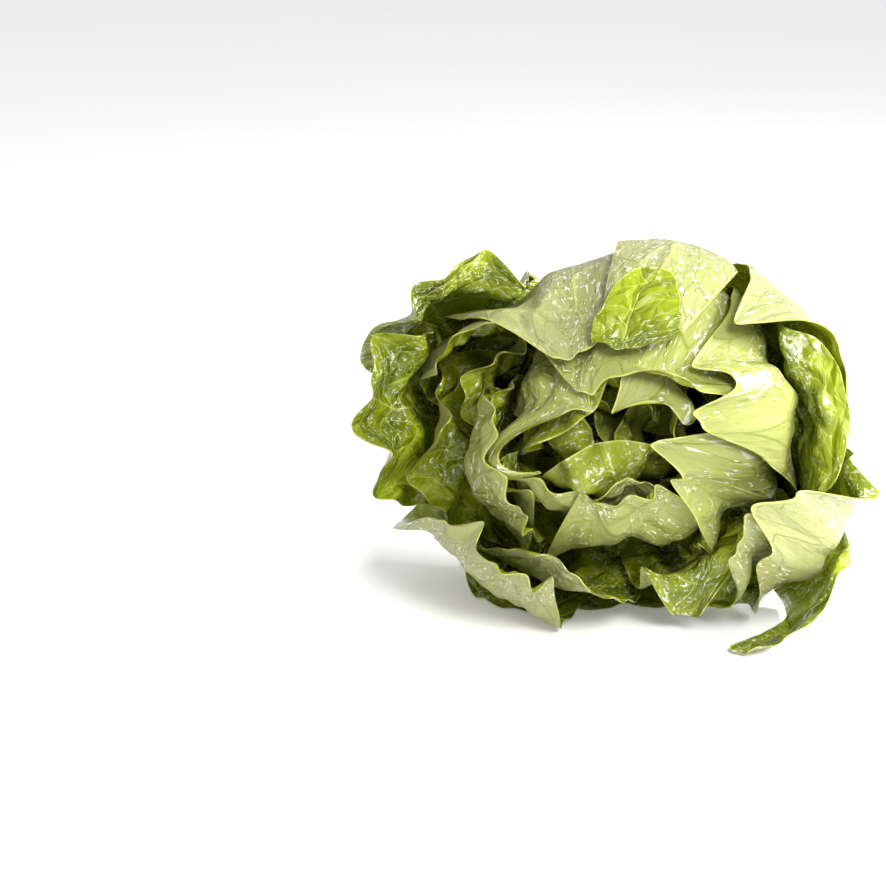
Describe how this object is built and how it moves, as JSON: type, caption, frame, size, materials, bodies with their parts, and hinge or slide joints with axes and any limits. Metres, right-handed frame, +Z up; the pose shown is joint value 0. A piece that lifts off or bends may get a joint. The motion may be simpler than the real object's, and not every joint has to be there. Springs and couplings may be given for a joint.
{
  "type": "butterhead lettuce",
  "caption": "Loose soft-leaved lettuce head lying on its side: small folded leaves in the middle, cupped leaves around them and wavy outer leaves on a short cut stem.",
  "frame": {"origin": "centre of the bounding box at ground level, on the surface the head lies on", "axes": "+X to the right as seen from the rosette side, -Y towards the rosette, +Z up"},
  "size_m": [0.2838, 0.188, 0.2057],
  "materials": {
    "stem": "moist cut stem, pale",
    "heart_leaf": "wet leaf, soft gloss",
    "head_leaf": "wet leaf, soft gloss",
    "wrapper_leaf": "leaf, satin above and matte beneath"
  },
  "bodies": {
    "root": {"stem": "stem", "heart_leaf_01": "heart_leaf", "heart_leaf_02": "heart_leaf", "heart_leaf_03": "heart_leaf", "heart_leaf_04": "heart_leaf", "heart_leaf_05": "heart_leaf", "heart_leaf_06": "heart_leaf", "heart_leaf_07": "heart_leaf", "heart_leaf_08": "heart_leaf", "heart_leaf_09": "heart_leaf", "heart_leaf_10": "heart_leaf", "head_leaf_01": "head_leaf", "head_leaf_02": "head_leaf", "head_leaf_03": "head_leaf", "head_leaf_04": "head_leaf", "head_leaf_05": "head_leaf", "head_leaf_06": "head_leaf", "head_leaf_07": "head_leaf", "head_leaf_08": "head_leaf", "head_leaf_09": "head_leaf", "head_leaf_10": "head_leaf", "head_leaf_11": "head_leaf", "head_leaf_12": "head_leaf", "head_leaf_13": "head_leaf", "head_leaf_14": "head_leaf", "wrapper_leaf_01": "wrapper_leaf", "wrapper_leaf_02": "wrapper_leaf", "wrapper_leaf_03": "wrapper_leaf", "wrapper_leaf_04": "wrapper_leaf", "wrapper_leaf_05": "wrapper_leaf", "wrapper_leaf_06": "wrapper_leaf", "wrapper_leaf_07": "wrapper_leaf", "wrapper_leaf_08": "wrapper_leaf", "wrapper_leaf_09": "wrapper_leaf", "wrapper_leaf_10": "wrapper_leaf", "wrapper_leaf_11": "wrapper_leaf", "wrapper_leaf_12": "wrapper_leaf", "wrapper_leaf_13": "wrapper_leaf"}
  },
  "joints": []
}
